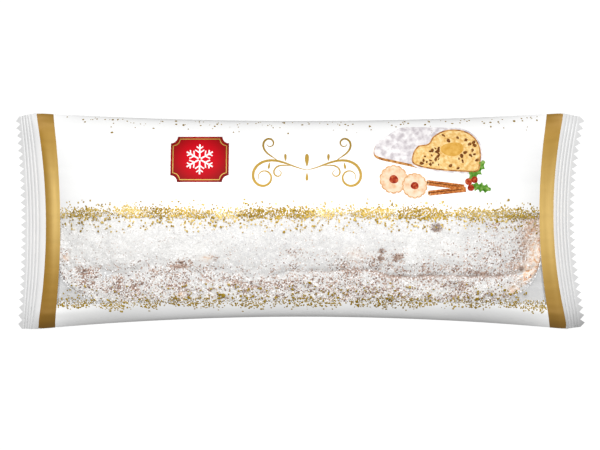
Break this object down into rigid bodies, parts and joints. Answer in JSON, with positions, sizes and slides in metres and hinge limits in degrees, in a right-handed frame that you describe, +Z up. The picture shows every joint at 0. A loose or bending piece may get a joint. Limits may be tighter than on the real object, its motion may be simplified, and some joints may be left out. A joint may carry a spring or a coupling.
{
  "type": "fruit loaf (stollen) in a sealed flow-wrap pack",
  "caption": "Sugar-dusted stollen loaf sealed in a white and gold pillow pack with a clear window, crimped saw-toothed end seals and a back seam.",
  "frame": {"origin": "centre of the pack's footprint on the ground it lies on", "axes": "+X along the pack, +Y across it towards the printed half of the top, +Z up; the window side faces up"},
  "size_m": [0.3619, 0.1374, 0.042],
  "materials": {
    "white_film": "satin white printed polypropylene film",
    "gold_band": "satin gold ink on film",
    "clear_film": "clear glossy polypropylene film",
    "sugared_crust": "baked crust under a coat of icing sugar",
    "icing_sugar": "matte powdered sugar clumps",
    "gold_print": "gold ink, satin",
    "red_print": "red ink, satin",
    "food_print": "coloured inks, satin"
  },
  "bodies": {
    "root": {"sealed_pack": "white_film"}
  },
  "joints": []
}
